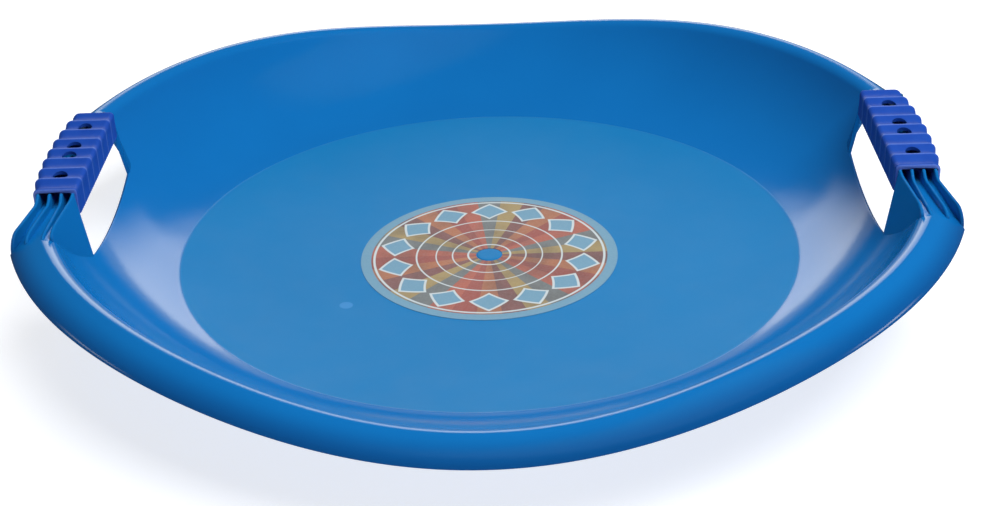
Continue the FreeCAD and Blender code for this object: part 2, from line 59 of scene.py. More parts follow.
# Top line of the rim, its inner and outer rounding, and the lip outside it
RIM_WIDE = 271.1
RIM_LONG = 274.7
RIM_HIGH = 75.4
RIM_LOWS = {FRONT: 54.2, BACK: 55.3}
DIP_POWER = 7.0
CROWN_IN = 9.0
CROWN_OUT = 5.0
LIP_WIDTH = 16.5
LIP_FLARES = {FRONT: 0.15, BACK: 0.0}
LIP_DROPS = {FRONT: 10.3, BACK: 11.3}
LIP_STARTS = {FRONT: math.radians(18.0), BACK: math.radians(34.0)}
LIP_STOPS = {FRONT: math.radians(76.0), BACK: math.radians(44.0)}

# Hand windows
SILL = 237.0
SILL_ENDS = {FRONT: 59.0, BACK: 66.0}
WINDOW_REACHES = {FRONT: 99.5, BACK: 80.0}
WINDOW_FADE = math.radians(14.0)

# Length of a grip, which its handle bar follows
GRIP_RIDGES = 9
GRIP_PITCH = 14.1
GRIP_HALF = GRIP_PITCH * (GRIP_RIDGES - 1) / 2.0

# Ribs of a handle bar, the first of which is the plate on the window's edge, and the web between them
RIBS = 4
RIB_STAND = 6.3
RIB_FIRST = SILL + RIB_STAND
RIB_PITCH = 6.9
RIB_THICK = 2.0
RIB_RISE = 7.6
RIB_TOP = RIM_HIGH + RIB_RISE
RIB_DEPTH = 12.1
RIB_LOW = RIB_TOP - RIB_DEPTH
RIB_FALLS = {FRONT: 4.4, BACK: 7.0}
PLATE_FALLS = {FRONT: 1.6, BACK: 4.5}
FALL_REACH = 5.2
BEND_REACH = 10.0
BEND_DROP = 1.0
BAR_GAP = 0.4
BAR_END = GRIP_HALF + BAR_GAP
SUNK_REACH = 6.0
SUNK_DROP = 3.0
FOOT_LAP = 1.0
FOOT_OUTS = (-4.6, 0.0, 7.9, 15.0)
FOOT_DEPTH = 4.0
ROOT_REACH = 4.0
ROOT_DROP = 3.0
PLATE_GAP = 0.6
PLATE_START = BAR_END + PLATE_GAP
PLATE_DEPTH = 12.0
PLATE_SINK = 4.0
WEB_THICK = 2.5
WEB_LIFTS = {FRONT: 0.5, BACK: 3.1}
WEB_LAP = 9.0
WEB_CLEAR = 0.12
WEB_SINK = 0.625

# Grips: the channel follows the ribs, the outside follows the channel
GRIP_CLEAR = 0.15
CHANNEL_INNER = RIB_FIRST - RIB_THICK / 2.0 - GRIP_CLEAR
CHANNEL_OUTER = RIB_FIRST + RIB_PITCH * (RIBS - 1) + RIB_THICK / 2.0 + GRIP_CLEAR
CHANNEL_TOP = RIB_TOP
INNER_WALL = 1.7
OUTER_WALL = 2.4
GRIP_ROOF = 3.6
GRIP_INNER = CHANNEL_INNER - INNER_WALL
GRIP_OUTER = CHANNEL_OUTER + OUTER_WALL
GRIP_TOP = CHANNEL_TOP + GRIP_ROOF
GRIP_BULGE = 4.2
SNAP_REACH = 0.8
SNAP_CLEAR = 0.2
SNAP_HEIGHT = 1.6
SNAP_TOP = RIB_LOW - SNAP_CLEAR
GRIP_LOW = SNAP_TOP - SNAP_HEIGHT
RIDGE_HEIGHT = 2.4
RIDGE_SIDE = 0.8
RIDGE_ROUND = 0.02
EDGE_INNER = 2.6
EDGE_OUTER = 4.6
END_ROUND = 2.2
HOLE_RADIUS = 4.5
HOLED_VALLEYS = (2, 4, 5, 7)
PUNCH_REACH = 2.2

# Label
LABEL_RADIUS = 81.9
LABEL_GAP = 0.6
LABEL_HOLE = PAD_RADIUS + LABEL_GAP
LABEL_THICK = 0.3
LABEL_CLEAR = 0.02

# Meshes: rounds of the searches for a spot on the rim, and angles that count as hard edges
SETTLE_ROUNDS = 3
SHELL_EDGE = 0.7
EDGE_SEGMENTS = 3
BEVEL_ANGLE = math.radians(50.0)
SHARP_ANGLE = math.radians(40.0)


def smooth(share):
    """Share from nought to one that starts and ends gently."""
    share = min(1.0, max(0.0, share))
    return share * share * (3.0 - 2.0 * share)


def spaced(start, stop, count):
    """Values after the start up to the stop, evenly apart."""
    return [start + (stop - start) * step / count for step in range(1, count + 1)]


def new_piece(name, points, faces):
    """Smooth-shaded mesh piece from points in millimetres."""
    mesh = bpy.data.meshes.new(name)
    mesh.from_pydata([Vector(point) * MM for point in points], [], faces)
    mesh.shade_smooth()
    piece = bpy.data.objects.new(name, mesh)
    bpy.context.scene.collection.objects.link(piece)
    return piece


def swept(name, sections):
    """Closed mesh through sections of equal point counts, with flat ends."""
    count = len(sections[0])
    points = [point for section in sections for point in section]
    faces = []
    for number in range(len(sections) - 1):
        start = number * count
        for index in range(count):
            after = (index + 1) % count
            faces.append((start + index, start + after, start + count + after, start + count + index))
    faces.append(tuple(reversed(range(count))))
    faces.append(tuple(range(len(points) - count, len(points))))
    piece = new_piece(name, points, faces)
    tidy_normals(piece)
    return piece


def tidy_normals(piece):
    """Faces outward, and hard edges where the shape turns sharply."""
    work = bmesh.new()
    work.from_mesh(piece.data)
    bmesh.ops.recalc_face_normals(work, faces=work.faces)
    work.to_mesh(piece.data)
    work.free()
    piece.data.set_sharp_from_angle(angle=SHARP_ANGLE)


def soften(piece, width):
    """Small rounding on hard edges, with the broad faces kept smooth."""
    bevel = piece.modifiers.new("edges", "BEVEL")
    bevel.width = width * MM
    bevel.segments = EDGE_SEGMENTS
    bevel.limit_method = "ANGLE"
    bevel.angle_limit = BEVEL_ANGLE
    bevel.use_clamp_overlap = True
    weigh = piece.modifiers.new("normals", "WEIGHTED_NORMAL")
    weigh.keep_sharp = True


def end_at(turn):
    """End of the sled that an angle from the right handle belongs to."""
    return BACK if math.sin(turn) > 0.0 else FRONT


def rim_line(turn):
    """Radius and height of the rim's top line at an angle from the right handle."""
    share = abs(math.sin(turn))
    radius = RIM_WIDE + (RIM_LONG - RIM_WIDE) * share ** 2
    return radius, RIM_HIGH - (RIM_HIGH - RIM_LOWS[end_at(turn)]) * share ** DIP_POWER


def wall_arc(turn):
    """Middle and radius of the wall's arc, and the angle where it touches the crown."""
    radius, height = rim_line(turn)
    foot = Vector((FLOOR_RADIUS - WALL_LAP, SKIN + FLOOR_RISE - math.tan(WALL_SLOPE) * WALL_LAP))
    crest = Vector((radius, height - CROWN_IN))
    rise = Vector((-math.sin(WALL_SLOPE), math.cos(WALL_SLOPE)))
    away = foot - crest
    arc = (away.length_squared - CROWN_IN ** 2) / (2.0 * (CROWN_IN - away.dot(rise)))
    middle = foot + rise * arc
    touch = crest - middle
    return middle, arc, math.atan2(touch.x, -touch.y)


def floor_height(radius):
    """Height of the floor's upper face, flat in the middle and dished outside."""
    dish = ((FLOOR_RADIUS - FLAT_RADIUS) ** 2 + FLOOR_RISE ** 2) / (2.0 * FLOOR_RISE)
    beyond = max(0.0, radius - FLAT_RADIUS)
    return SKIN + dish - math.sqrt(dish ** 2 - beyond ** 2)


def wall_height(radius, turn):
    """Height of the wall's upper face at a distance from the sled's axis."""
    middle, arc = wall_arc(turn)[:2]
    return middle.y - math.sqrt(arc ** 2 - (radius - middle.x) ** 2)


def crease_height(radius, turn):
    """Soft fold between floor and wall."""
    share = smooth((radius - FLOOR_RADIUS + CREASE_HALF) / (2.0 * CREASE_HALF))
    return floor_height(radius) * (1.0 - share) + wall_height(radius, turn) * share


def window_edge(turn):
    """Radius where the hand window cuts the wall, for an angle within the window."""
    slope = abs(math.tan(turn))
    end = end_at(turn)
    sill_end, corner_along = SILL_ENDS[end], WINDOW_REACHES[end]
    if slope * SILL <= sill_end:
        return SILL * math.hypot(1.0, slope)
    lean = (window_corner(end) - SILL) / (corner_along - sill_end)
    across = (SILL - sill_end * lean) / (1.0 - slope * lean)
    return across * math.hypot(1.0, slope)


def lip_points(end):
    """Start, pull and edge of the lip's curve, from the top of the rim: out, up."""
    start, stop = LIP_STARTS[end], LIP_STOPS[end]
    near = Vector((math.sin(start), math.cos(start) - 1.0)) * CROWN_OUT
    edge = Vector((LIP_WIDTH, -LIP_DROPS[end]))
    ahead = Vector((math.cos(start), -math.sin(start)))
    behind = Vector((math.cos(stop), -math.sin(stop)))
    gap = edge - near
    reach = (gap.x * behind.y - gap.y * behind.x) / (ahead.x * behind.y - ahead.y * behind.x)
    return near, near + ahead * reach, edge


def lip_height(out, end):
    """Height of crown or lip over the rim's top line, at a distance outside it."""
    near, pull, edge = lip_points(end)
    if out < near.x:
        crown = CROWN_IN if out < 0.0 else CROWN_OUT
        return math.sqrt(crown ** 2 - out ** 2) - crown
    first, bend = pull.x - near.x, near.x - 2.0 * pull.x + edge.x
    share = (out - near.x) / (first + math.sqrt(first ** 2 + bend * (out - near.x)))
    return near.lerp(pull, share).lerp(pull.lerp(edge, share), share).y


def lip_reach(out, turn, end):
    """Distance outside the rim's top line, wider where the lip flares towards the handles."""
    return out * (1.0 + LIP_FLARES[end] * math.cos(turn) ** 2) if out > 0.0 else out


def lip_spot(out, along, end):
    """Spot of crown or lip at a distance outside the rim's top line: across, along, up."""
    turn = math.asin(along / RIM_WIDE)
    for attempt in range(SETTLE_ROUNDS):
        radius, height = rim_line(end * turn)
        radius += lip_reach(out, turn, end)
        turn = math.asin(along / radius)
    return radius * math.cos(turn), along, height + lip_height(out, end)


def rib_foot(number, end):
    """Spot on crown or lip where a rib comes down: across, along, up."""
    return lip_spot(FOOT_OUTS[number], WINDOW_REACHES[end] + FOOT_LAP, end)


def rib_line(number):
    """Distance of a rib from the sled's middle line, within the grip."""
    return RIB_FIRST + RIB_PITCH * number


def window_corner(end):
    """Distance of the window's outer corner from the sled's middle line."""
    return rib_foot(0, end)[0]


# Shell

FLOOR_ROWS = 12
DISH_ROWS = 18
CREASE_ROWS = 10
PAD_ROWS = 3
WALL_ROWS = 34
CROWN_ROWS = 9
LIP_ROWS = 18
SILL_COLUMNS = 14
PLATE_COLUMNS = 12
RIM_COLUMNS = 60


def quarter_turns(end):
    """Angles of the mesh columns from a handle to one end, and whether each carries crown and lip."""
    sill_turn = math.atan2(SILL_ENDS[end], SILL)
    end_turn = math.atan2(WINDOW_REACHES[end], window_corner(end))
    turns = [0.0] + spaced(0.0, sill_turn, SILL_COLUMNS)
    turns += spaced(sill_turn, end_turn, PLATE_COLUMNS)
    first_full = len(turns) - 1
    turns += spaced(end_turn, math.pi / 2.0, RIM_COLUMNS)
    return [(turn, number >= first_full) for number, turn in enumerate(turns)]


def all_turns():
    """Columns all the way round, from the right handle over the back, the left handle and the front."""
    back, front = quarter_turns(BACK), quarter_turns(FRONT)
    turns = back + [(math.pi - turn, full) for turn, full in reversed(back[:-1])]
    turns += [(math.pi + turn, full) for turn, full in front[1:]]
    return turns + [(2.0 * math.pi - turn, full) for turn, full in reversed(front[1:-1])]


def floor_rows():
    """Radii of the mesh rows from the middle to the crease."""
    radii = spaced(0.0, PAD_RADIUS - PAD_EDGE, PAD_ROWS)
    radii += spaced(PAD_RADIUS - PAD_EDGE, PAD_RADIUS, PAD_ROWS)
    radii += spaced(PAD_RADIUS, FLAT_RADIUS, FLOOR_ROWS)
    return radii + spaced(FLAT_RADIUS, FLOOR_RADIUS - CREASE_HALF, DISH_ROWS)


def pad_rise(radius):
    """Height of the rounded pad over the floor."""
    share = min(1.0, max(0.0, (PAD_RADIUS - radius) / PAD_EDGE))
    return PAD_HEIGHT * share * (2.0 - share)


def dish_column(turn, full):
    """Profile from the first floor row up to the crown, or to the edge of the window."""
    profile = [(radius, floor_height(radius) + pad_rise(radius)) for radius in floor_rows()]
    low, high = FLOOR_RADIUS - CREASE_HALF, FLOOR_RADIUS + CREASE_HALF
    profile += [(radius, crease_height(radius, turn)) for radius in spaced(low, high, CREASE_ROWS)]
    middle, arc, touch = wall_arc(turn)
    stop = touch if full else math.asin((window_edge(turn) - middle.x) / arc)
    start = math.asin((high - middle.x) / arc)
    for lean in spaced(start, stop, WALL_ROWS):
        profile.append((middle.x + arc * math.sin(lean), middle.y - arc * math.cos(lean)))
    return profile


def rim_column(turn):
    """Profile of crown and lip, outward from the wall."""
    radius, height = rim_line(turn)
    end = end_at(turn)
    touch = wall_arc(turn)[2]
    near, pull, edge = lip_points(end)
    leans = [(CROWN_IN, lean) for lean in spaced(-touch, 0.0, CROWN_ROWS)]
    leans += [(CROWN_OUT, lean) for lean in spaced(0.0, LIP_STARTS[end], CROWN_ROWS)]
    profile = [(crown * math.sin(lean), crown * (math.cos(lean) - 1.0)) for crown, lean in leans]
    for share in spaced(0.0, 1.0, LIP_ROWS):
        profile.append(near.lerp(pull, share).lerp(pull.lerp(edge, share), share))
    return [(radius + lip_reach(out, turn, end), height + up) for out, up in profile]


def window_side(turn):
    """Angle from the nearer handle and the handle's own angle."""
    handle = 0.0 if math.cos(turn) > 0.0 else math.pi
    away = math.remainder(turn - handle, 2.0 * math.pi)
    return away, handle


def bent_turn(turn, row):
    """Angle of a rim column at a row: by the window the columns follow its straight end."""
    away, handle = window_side(turn)
    end = end_at(turn)
    first = math.atan2(WINDOW_REACHES[end], window_corner(end))
    fade = max(0.0, 1.0 - (abs(away) - first) / WINDOW_FADE) ** 2
    bent = abs(away)
    for attempt in range(SETTLE_ROUNDS):
        radius = rim_column(handle + bent)[row][0]
        bent = abs(away) + fade * (math.asin(WINDOW_REACHES[end] / radius) - first)
    return handle + math.copysign(bent, away)


def make_shell():
    """Upper face as one grid from the middle to the lip's edge, thickened by the skin."""
    columns = all_turns()
    points = [(0.0, 0.0, SKIN + PAD_HEIGHT)]
    faces = []
    grid = []
    for turn, full in columns:
        column = []
        for radius, height in dish_column(turn, full):
            column.append(len(points))
            points.append((radius * math.cos(turn), radius * math.sin(turn), height))
        for row in range(2 * CROWN_ROWS + LIP_ROWS if full else 0):
            bent = bent_turn(turn, row)
            radius, height = rim_column(bent)[row]
            column.append(len(points))
            points.append((radius * math.cos(bent), radius * math.sin(bent), height))
        grid.append(column)
    for first, second in zip(grid, grid[1:] + grid[:1]):
        faces.append((0, first[0], second[0]))
        for row in range(min(len(first), len(second)) - 1):
            faces.append((first[row], first[row + 1], second[row + 1], second[row]))
    shell = new_piece("shell", points, faces)
    thick = shell.modifiers.new("skin", "SOLIDIFY")
    thick.thickness = SKIN * MM
    thick.offset = -1.0
    thick.use_even_offset = True
    soften(shell, SHELL_EDGE)
    return shell


# Ribs and webs of the handle bars

RIB_STEPS = 30
TOP_STEPS = 6
WEB_STEPS = 16
WEB_COLUMNS = 28


def rib_height(number, end, here):
    """Top of a rib: a quick fall outside the grip, a long shoulder and a bend down to the foot."""
    along, up = rib_foot(number, end)[1:]
    shoulder = RIB_TOP - (RIB_FALLS[end] if number else PLATE_FALLS[end])
    fallen, bend = BAR_END + FALL_REACH, along - BEND_REACH
    if here < fallen:
        return RIB_TOP + (shoulder - RIB_TOP) * smooth((here - BAR_END) / FALL_REACH)
    if here < bend:
        return shoulder - BEND_DROP * (here - fallen) / (bend - fallen)
    share = min(1.0, (here - bend) / BEND_REACH)
    return up + (shoulder - BEND_DROP - up) * math.sqrt(1.0 - share * share)


def plate_edge(end, here):
    """Lower edge of the first rib, which stands on the window's edge: across, up."""
    across, along, up = rib_foot(0, end)
    reach = min(max(here, PLATE_START), SILL_ENDS[end])
    low = wall_height(math.hypot(SILL, reach), math.atan2(reach, SILL)) - PLATE_SINK
    if here < PLATE_START:
        share = (here - BAR_END) / (PLATE_START - BAR_END)
        return rib_line(0) + (SILL - rib_line(0)) * share, RIB_LOW + (low - RIB_LOW) * share
    share = max(0.0, (here - SILL_ENDS[end]) / (along - SILL_ENDS[end]))
    return SILL + (across - SILL) * share, low + (up - PLATE_DEPTH - low) * share


def rib_stations(number, end):
    """Sections from the end of the grip outward: along, top line, low line, low, top."""
    across, along, up = rib_foot(number, end)
    line = rib_line(number)
    places = [BAR_END, PLATE_START]
    for share in spaced(0.0, 1.0, RIB_STEPS):
        places.append(PLATE_START + (along - PLATE_START) * share * (2.0 - share))
    stations = [(end * (BAR_END - SUNK_REACH), line, line, RIB_LOW, RIB_TOP - SUNK_DROP)]
    for here in places:
        share = (here - BAR_END) / (along - BAR_END)
        top_line = line + (across - line) * share
        low_line, low = top_line, RIB_LOW + (up - FOOT_DEPTH - RIB_LOW) * share
        if number == 0:
            low_line, low = plate_edge(end, here)
        stations.append((end * here, top_line, low_line, low, rib_height(number, end, here)))
    root = lip_spot(FOOT_OUTS[number], along + ROOT_REACH, end)
    stations.append((end * root[1], root[0], root[0], root[2] - FOOT_DEPTH, root[2] - ROOT_DROP))
    return stations


def rib_section(side, here, top_line, low_line, low, top):
    """Upright section with a rounded top edge."""
    half = RIB_THICK / 2.0
    section = [(low_line - half, low), (low_line + half, low)]
    for step in range(TOP_STEPS + 1):
        lean = math.pi * step / TOP_STEPS
        section.append((top_line + half * math.cos(lean), top - half + half * math.sin(lean)))
    return [(side * across, here, up) for across, up in section]


def web_section(side, end, here):
    """Section of the web, level in the grip, that swings up to the shell and dies away on it."""
    reach = WINDOW_REACHES[end]
    share = min(1.0, (here - BAR_END) / (reach - BAR_END))
    sink = smooth((here - reach) / WEB_LAP)
    level = RIB_LOW + WEB_LIFTS[end] + WEB_THICK
    top = []
    for column in range(WEB_COLUMNS + 1):
        place = column / WEB_COLUMNS
        out = FOOT_OUTS[0] + (FOOT_OUTS[-1] - FOOT_OUTS[0]) * place
        across, along, up = lip_spot(out, max(here, reach), end)
        line = rib_line(0) + (rib_line(RIBS - 1) - rib_line(0)) * place
        up += WEB_CLEAR - (WEB_CLEAR + WEB_SINK) * sink
        top.append((line + (across - line) * share, level + (up - level) * smooth(share)))
    low = [(across, up - WEB_THICK) for across, up in reversed(top)]
    return [(side * across, end * here, up) for across, up in top + low]


def make_bar(side, word):
    """Four upright ribs of one handle bar and the web that closes the grooves between them."""
    pieces = []
    for number in range(RIBS):
        stations = rib_stations(number, FRONT)[::-1] + rib_stations(number, BACK)
        sections = [rib_section(side, *station) for station in stations]
        pieces.append(swept("%s_rib_%d" % (word, number + 1), sections))
    sections = []
    for end in (FRONT, BACK):
        places = [BAR_END] + spaced(BAR_END, WINDOW_REACHES[end] + WEB_LAP, WEB_STEPS)
        sections += [web_section(side, end, here) for here in places][::end]
    pieces.append(swept("%s_web" % word, sections))
    return pieces


# Grips

GRIP_STEPS = 20
CORNER_STEPS = 7
CREST_STEPS = 10
END_STEPS = 6
HOLE_SIDES = 40


def ridge_share(here):
    """One on a ridge, nought in the round valley between two."""
    wave = math.sin(math.pi * (here + GRIP_HALF) / GRIP_PITCH)
    return 1.0 - math.sqrt(wave * wave + RIDGE_ROUND) / math.sqrt(1.0 + RIDGE_ROUND)


def grip_sides(here):
    """Inner and outer face of a grip at a ridge."""
    return GRIP_INNER, GRIP_OUTER + GRIP_BULGE * (1.0 - (here / GRIP_HALF) ** 2)


def end_fall(here):
    """Rounding of the grip's end edges."""
    share = min(1.0, max(0.0, (abs(here) - GRIP_HALF + END_ROUND) / END_ROUND))
    return END_ROUND * (1.0 - math.sqrt(1.0 - share * share))


def corner(middle, radius, start, count):
    """Quarter turn of a rounded edge, clockwise from the start angle."""
    turns = [start] + spaced(start, start - math.pi / 2.0, count)
    return [(middle[0] + radius * math.cos(turn), middle[1] + radius * math.sin(turn)) for turn in turns]


def grip_section(side, here):
    """Loop around the cover: over the outside, then back through the channel."""
    sink = 1.0 - ridge_share(here)
    fall = end_fall(here)
    low_inner, low_outer = grip_sides(here)
    inner = low_inner + RIDGE_SIDE * sink + fall / 2.0
    outer = low_outer - RIDGE_SIDE * sink - fall / 2.0
    top = GRIP_TOP - RIDGE_HEIGHT * sink - fall
    over = [(low_inner + fall / 2.0, GRIP_LOW), (inner, SNAP_TOP)]
    over += corner((inner + EDGE_INNER, top - EDGE_INNER), EDGE_INNER, math.pi, CORNER_STEPS)
    over += [(across, top) for across in spaced(inner + EDGE_INNER, outer - EDGE_OUTER, CREST_STEPS)]
    over += corner((outer - EDGE_OUTER, top - EDGE_OUTER), EDGE_OUTER, math.pi / 2.0, CORNER_STEPS)[1:]
    over += [(outer, SNAP_TOP), (low_outer - fall / 2.0, GRIP_LOW)]
    under = [(CHANNEL_INNER + SNAP_REACH, GRIP_LOW), (CHANNEL_INNER + SNAP_REACH, SNAP_TOP)]
    under.append((CHANNEL_INNER, SNAP_TOP))
    under += [(across, CHANNEL_TOP) for across in spaced(CHANNEL_INNER, CHANNEL_OUTER, CREST_STEPS)]
    under += [(CHANNEL_OUTER, SNAP_TOP)]
    under += [(CHANNEL_OUTER - SNAP_REACH, SNAP_TOP), (CHANNEL_OUTER - SNAP_REACH, GRIP_LOW)]
    return [(side * across, here, up) for across, up in over + under[::-1]]


def grip_places():
    """Stations along the grip, closer together on the rounded ends."""
    steps = GRIP_STEPS * (GRIP_RIDGES - 1)
    places = [0.0] + spaced(0.0, GRIP_HALF, steps // 2)
    inside = [here for here in places if here < GRIP_HALF - END_ROUND]
    turns = spaced(0.0, math.pi / 2.0, END_STEPS)
    half = inside + [GRIP_HALF - END_ROUND + END_ROUND * math.sin(turn) for turn in turns]
    return [-here for here in reversed(half[1:])] + half


def hole_punch(side):
    """Upright rods where the holes of a grip go."""
    points, faces = [], []
    for valley in HOLED_VALLEYS:
        here = GRIP_PITCH * (valley - 0.5) - GRIP_HALF
        across = side * sum(grip_sides(here)) / 2.0
        start = len(points)
        for up in (CHANNEL_TOP - PUNCH_REACH, GRIP_TOP + PUNCH_REACH):
            for number in range(HOLE_SIDES):
                turn = 2.0 * math.pi * number / HOLE_SIDES
                aside, ahead = HOLE_RADIUS * math.cos(turn), HOLE_RADIUS * math.sin(turn)
                points.append((across + aside, here + ahead, up))
        ring = range(HOLE_SIDES)
        faces.append(tuple(start + number for number in reversed(ring)))
        faces.append(tuple(start + HOLE_SIDES + number for number in ring))
        for number in ring:
            after = (number + 1) % HOLE_SIDES
            above = start + HOLE_SIDES
            faces.append((start + number, start + after, above + after, above + number))
    return new_piece("hole_punch", points, faces)


def make_grip(side, word):
    """Ridged cover with holes in some of its valleys."""
    grip = swept("%s_grip_cover" % word, [grip_section(side, here) for here in grip_places()])
    punch = hole_punch(side)
    cut = grip.modifiers.new("holes", "BOOLEAN")
    cut.operation = "DIFFERENCE"
    cut.solver = "EXACT"
    cut.object = punch
    finished = grip.evaluated_get(bpy.context.evaluated_depsgraph_get())
    grip.data = bpy.data.meshes.new_from_object(finished)
    grip.modifiers.clear()
    bpy.data.objects.remove(punch)
    tidy_normals(grip)
    return grip


# Label

LABEL_COLUMNS = 160
LABEL_ROWS = 12


def make_label():
    """Thin printed foil with a punched middle."""
    points, faces = [], []
    low, high = SKIN + LABEL_CLEAR, SKIN + LABEL_THICK
    rings = [(LABEL_HOLE, low), (LABEL_HOLE, high)]
    rings += [(radius, high) for radius in spaced(LABEL_HOLE, LABEL_RADIUS, LABEL_ROWS)]
    rings.append((LABEL_RADIUS, low))
    for number in range(LABEL_COLUMNS):
        turn = 2.0 * math.pi * number / LABEL_COLUMNS
        points += [(radius * math.cos(turn), radius * math.sin(turn), height) for radius, height in rings]
    count = len(rings)
    for number in range(LABEL_COLUMNS):
        start, after = number * count, (number + 1) % LABEL_COLUMNS * count
        for row in range(count):
            up = (row + 1) % count
            faces.append((start + row, start + up, after + up, after + row))
    label = new_piece("label_foil", points, faces)
    tidy_normals(label)
    return label


# Materials
# A noise is kept as its scale, per millimetre, and its detail.
# Gloss is a roughness, and relief is in millimetres.

WALL_DEEP = (0.0035, 0.153, 0.450, 1.0)
WALL_LIGHT = (0.0052, 0.180, 0.507, 1.0)
# Painted shade: the lip's outer face darkens between these radii towards its lower edge, where less light
# reaches
LIP_PAINTED_SHADE = (0.0030, 0.078, 0.270, 1.0)
LIP_SHADE_RADII = (276.0, 293.0)
FLOOR_DEEP = (0.0045, 0.190, 0.452, 1.0)
FLOOR_LIGHT = (0.0065, 0.213, 0.498, 1.0)
SHELL_CLOUD = (0.011, 3.0)
SHELL_MARK = (0.085, 0.330, 0.680, 1.0)
MARK_PLACE = (-87.0, -60.0)
MARK_RADIUS = 4.6
MARK_EDGE = 1.0
MARK_SHARE = 0.55
WALL_GLOSS = 0.11
FLOOR_GLOSS = 0.64
COVERED_GLOSS = 0.8
COVERED_EDGE = 1.0
GLOSS_CHANGE = 1.2
SHELL_HAZE = (0.05, 4.0)
SHELL_HAZE_RANGE = (0.88, 1.12)
SHELL_GRAIN = (1.6, 2.0)
SHELL_WAVE = (0.035, 1.0)
WAVE_SHARE = 6.0
FLOOR_BUMPS = 0.22
WALL_BUMPS = 0.10
SHELL_RELIEF = 0.12
SHELL_IOR = 1.48

GRIP_DEEP = (0.010, 0.058, 0.365, 1.0)
GRIP_LIGHT = (0.016, 0.086, 0.455, 1.0)
GRIP_CLOUD = (0.09, 3.0)
# Painted highlight: a paler colour along the ridge crests, where grazing light catches them, made patchy
# by a noise
GRIP_CREST_HIGHLIGHT = (0.150, 0.250, 0.700, 1.0)
CREST_FADE = (0.22, 0.05)
CREST_PATCHES = (0.5, 2.0)
CREST_PATCH_RANGE = (0.35, 0.85)
GRIP_GLOSS = 0.50
GRIP_HAZE = (0.4, 3.0)
GRIP_HAZE_RANGE = (0.85, 1.15)
GRIP_GRAIN = (2.2, 3.0)
GRIP_BUMPS = 0.3
GRIP_RELIEF = 0.15
GRIP_SPECULAR = 0.32

PRINT_WHITE = (0.60, 0.66, 0.66, 1.0)
PRINT_BLUE = (0.130, 0.315, 0.445, 1.0)
PRINT_DARK = (0.045, 0.028, 0.030, 1.0)
PRINT_RAYS = (
    (0.330, 0.052, 0.036, 1.0),
    (0.420, 0.135, 0.050, 1.0),
    (0.200, 0.060, 0.055, 1.0),
    (0.370, 0.255, 0.085, 1.0),
    (0.150, 0.165, 0.165, 1.0),
    (0.430, 0.090, 0.050, 1.0),
)
RAY_ROUNDS = 5
PRINT_BORDER = 75.4
PRINT_RINGS = ((73.4, 0.75), (46.5, 0.55), (34.0, 0.40), (23.5, 0.45), (13.5, 0.60))
PRINT_BLUR = 0.2
LOZENGES = 14
LOZENGE_RADIUS = 60.5
LOZENGE_LONG = 10.2
LOZENGE_HIGH = 9.2
LOZENGE_EDGE = 1.22
LOZENGE_BLUR = 0.03
PRINT_MIST = (0.045, 4.0)
MIST_EDGES = (0.35, 0.75)
MIST_SHARE = 0.45
PRINT_FADE = (0.8, 3.0)
FADE_SHARE = 0.16
LABEL_HAZE = (0.06, 3.0)
LABEL_GLOSS_RANGE = (0.50, 0.62)
LABEL_WAVE = (0.35, 3.0)
LABEL_BUMPS = 0.12
LABEL_RELIEF = 0.1


def plain_material(name):
    """Material with nothing but its shader."""
    material = bpy.data.materials.new(name)
    material.use_nodes = True
    return material, material.node_tree.nodes["Principled BSDF"]


def new_material(name):
    """Material to be filled: node tree, shader and the place on the object, in millimetres."""
    material, shader = plain_material(name)
    tree = material.node_tree
    where = tree.nodes.new("ShaderNodeTexCoord")
    scale = tree.nodes.new("ShaderNodeVectorMath")
    scale.operation = "SCALE"
    scale.inputs["Scale"].default_value = 1.0 / MM
    tree.links.new(where.outputs["Object"], scale.inputs[0])
    return material, tree, shader, scale.outputs[0]


def feed(tree, socket, source):
    """Links an output to a socket, or sets a constant on it."""
    if isinstance(source, bpy.types.NodeSocket):
        tree.links.new(source, socket)
    else:
        socket.default_value = source


def maths(tree, operation, first, second=0.0):
    """Result of a sum with one or two amounts."""
    node = tree.nodes.new("ShaderNodeMath")
    node.operation = operation
    feed(tree, node.inputs[0], first)
    feed(tree, node.inputs[1], second)
    return node.outputs[0]


def soft_step(tree, amount, start, stop):
    """Rises gently from nought at the start to one at the stop."""
    node = tree.nodes.new("ShaderNodeMapRange")
    node.interpolation_type = "SMOOTHSTEP"
    feed(tree, node.inputs["Value"], amount)
    node.inputs["From Min"].default_value = start
    node.inputs["From Max"].default_value = stop
    return node.outputs["Result"]


def ranged(tree, amount, start, stop):
    """Share of nought to one spread over a range."""
    node = tree.nodes.new("ShaderNodeMapRange")
    feed(tree, node.inputs["Value"], amount)
    feed(tree, node.inputs["To Min"], start)
    feed(tree, node.inputs["To Max"], stop)
    return node.outputs["Result"]


def blend(tree, share, first, second):
    """Colour between two, by a share."""
    node = tree.nodes.new("ShaderNodeMix")
    node.data_type = "RGBA"
    feed(tree, node.inputs[0], share)
    feed(tree, node.inputs[6], first)
    feed(tree, node.inputs[7], second)
    return node.outputs[2]


def noise(tree, place, scale, detail):
    """Cloudy amount that varies over the object."""
    node = tree.nodes.new("ShaderNodeTexNoise")
    tree.links.new(place, node.inputs["Vector"])
    node.inputs["Scale"].default_value = scale
    node.inputs["Detail"].default_value = detail
    return node.outputs[0]


def split(tree, place):
    """Across, along and up of a place."""
    node = tree.nodes.new("ShaderNodeSeparateXYZ")
    tree.links.new(place, node.inputs[0])
    return node.outputs


def distance(tree, first, second):
    """Length of the long side of a right triangle."""
    squares = [maths(tree, "POWER", part, 2.0) for part in (first, second)]
    return maths(tree, "SQRT", maths(tree, "ADD", *squares))


def bumps(tree, shader, height, strength, depth):
    """Fine relief on a surface, with its depth in millimetres."""
    node = tree.nodes.new("ShaderNodeBump")
    feed(tree, node.inputs["Strength"], strength)
    node.inputs["Distance"].default_value = depth * MM
    tree.links.new(height, node.inputs["Height"])
    tree.links.new(node.outputs["Normal"], shader.inputs["Normal"])


